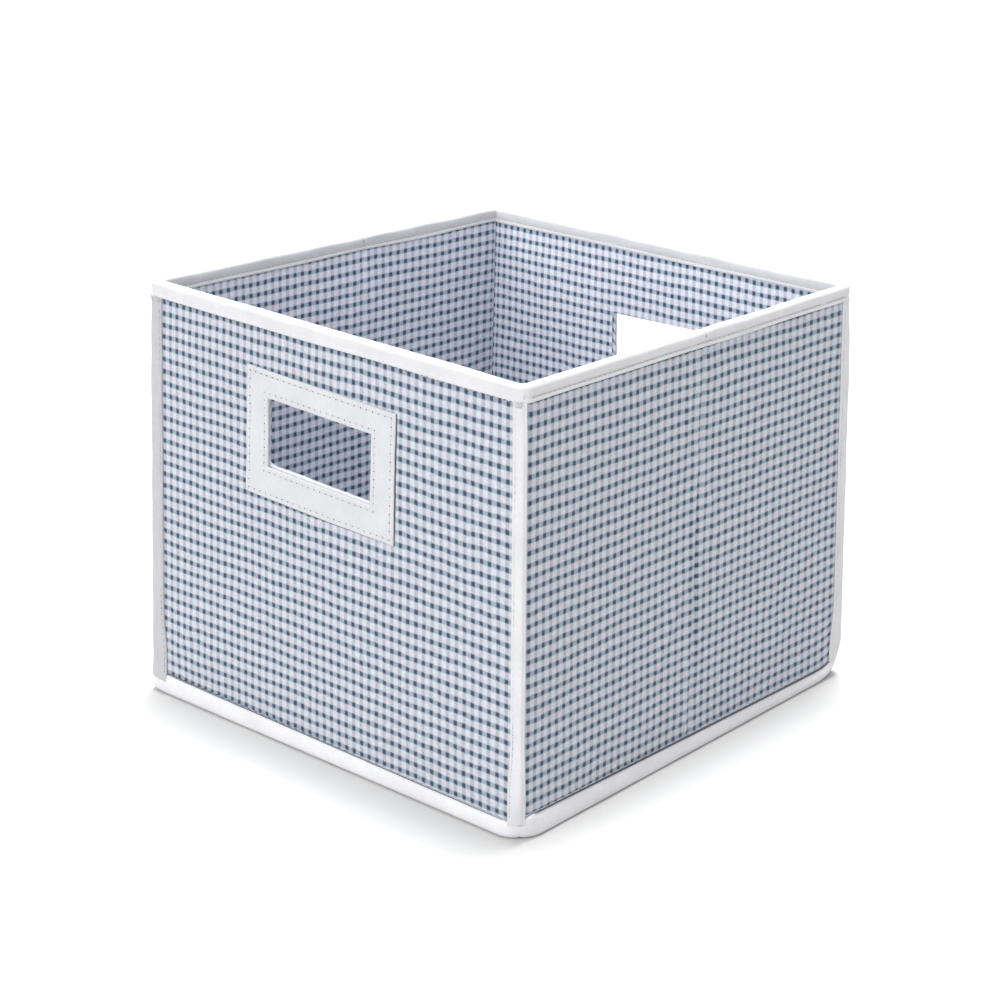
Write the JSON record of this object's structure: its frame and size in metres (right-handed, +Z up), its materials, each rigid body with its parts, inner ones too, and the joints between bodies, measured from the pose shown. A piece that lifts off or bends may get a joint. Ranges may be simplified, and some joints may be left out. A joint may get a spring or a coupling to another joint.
{
  "type": "fabric storage bin",
  "caption": "Open-top collapsible fabric storage bin with gingham walls, white bindings, framed hand windows and a lift-out insert board.",
  "frame": {"origin": "centre of the footprint, on the floor under the base", "axes": "+X to the right along the front wall, +Y from the front wall to the back wall, +Z up"},
  "size_m": [0.32, 0.31, 0.267],
  "materials": {
    "gingham_fabric": "matt cotton gingham, small blue and grey checks on an off-white ground",
    "white_binding_tape": "matt white woven binding tape, stitched",
    "handle_frame_tape": "smooth white coated fabric with two stitch rows",
    "chipboard": "grey-brown chipboard stiffener"
  },
  "bodies": {
    "front_and_base": {"front_outer_fabric": "gingham_fabric", "front_board": "chipboard", "front_lining": "gingham_fabric", "front_handle_frame": "handle_frame_tape", "front_rim_binding": "white_binding_tape", "corner_binding_front_right": "white_binding_tape", "corner_binding_front_left": "white_binding_tape", "hinge_fabric_front_right": "gingham_fabric", "rim_corner_front_right": "white_binding_tape", "hinge_fabric_front_left": "gingham_fabric", "rim_corner_front_left": "white_binding_tape", "base_binding": "white_binding_tape", "base_fabric": "gingham_fabric"},
    "right_front_half": {"right_front_outer_fabric": "gingham_fabric", "right_front_board": "chipboard", "right_front_lining": "gingham_fabric", "right_front_rim_binding": "white_binding_tape"},
    "right_rear_half": {"right_rear_outer_fabric": "gingham_fabric", "right_rear_board": "chipboard", "right_rear_lining": "gingham_fabric", "right_rear_rim_binding": "white_binding_tape"},
    "left_front_half": {"left_front_outer_fabric": "gingham_fabric", "left_front_board": "chipboard", "left_front_lining": "gingham_fabric", "left_front_rim_binding": "white_binding_tape"},
    "left_rear_half": {"left_rear_outer_fabric": "gingham_fabric", "left_rear_board": "chipboard", "left_rear_lining": "gingham_fabric", "left_rear_rim_binding": "white_binding_tape"},
    "back_wall": {"back_outer_fabric": "gingham_fabric", "back_board": "chipboard", "back_lining": "gingham_fabric", "back_handle_frame": "handle_frame_tape", "back_rim_binding": "white_binding_tape", "corner_binding_rear_left": "white_binding_tape", "corner_binding_rear_right": "white_binding_tape", "hinge_fabric_rear_left": "gingham_fabric", "rim_corner_rear_left": "white_binding_tape", "hinge_fabric_rear_right": "gingham_fabric", "rim_corner_rear_right": "white_binding_tape"},
    "insert": {"insert_board": "chipboard", "insert_cover": "gingham_fabric"}
  },
  "joints": [
    {"name": "fold", "type": "hinge", "parent": "front_and_base", "child": "right_front_half", "pos_m": [0.16, -0.1418, 0.138], "axis": [0, 0, 1], "range_deg": [0, 88], "deforming": ["base_fabric", "base_binding", "hinge_fabric_front_right", "rim_corner_front_right", "hinge_fabric_front_left", "rim_corner_front_left", "hinge_fabric_rear_left", "rim_corner_rear_left", "hinge_fabric_rear_right", "rim_corner_rear_right"]},
    {"name": "right_crease", "type": "hinge", "parent": "right_front_half", "child": "right_rear_half", "pos_m": [0.16, 0, 0.138], "axis": [0, 0, 1], "range_deg": [-176, 0]},
    {"name": "rear_right_corner", "type": "hinge", "parent": "right_rear_half", "child": "back_wall", "pos_m": [0.16, 0.1418, 0.138], "axis": [0, 0, 1], "range_deg": [0, 88]},
    {"name": "front_left_corner", "type": "hinge", "parent": "front_and_base", "child": "left_front_half", "pos_m": [-0.16, -0.1418, 0.138], "axis": [0, 0, 1], "range_deg": [-88, 0]},
    {"name": "left_crease", "type": "hinge", "parent": "left_front_half", "child": "left_rear_half", "pos_m": [-0.16, 0, 0.138], "axis": [0, 0, 1], "range_deg": [0, 176]},
    {"name": "insert_lift", "type": "slide", "parent": "front_and_base", "child": "insert", "axis": [0, 0, 1], "range_m": [0, 0.28]}
  ],
  "couplings": [
    {"joint": "right_crease", "follows": "fold", "ratio": -2},
    {"joint": "rear_right_corner", "follows": "fold", "ratio": 1},
    {"joint": "front_left_corner", "follows": "fold", "ratio": -1},
    {"joint": "left_crease", "follows": "fold", "ratio": 2}
  ]
}
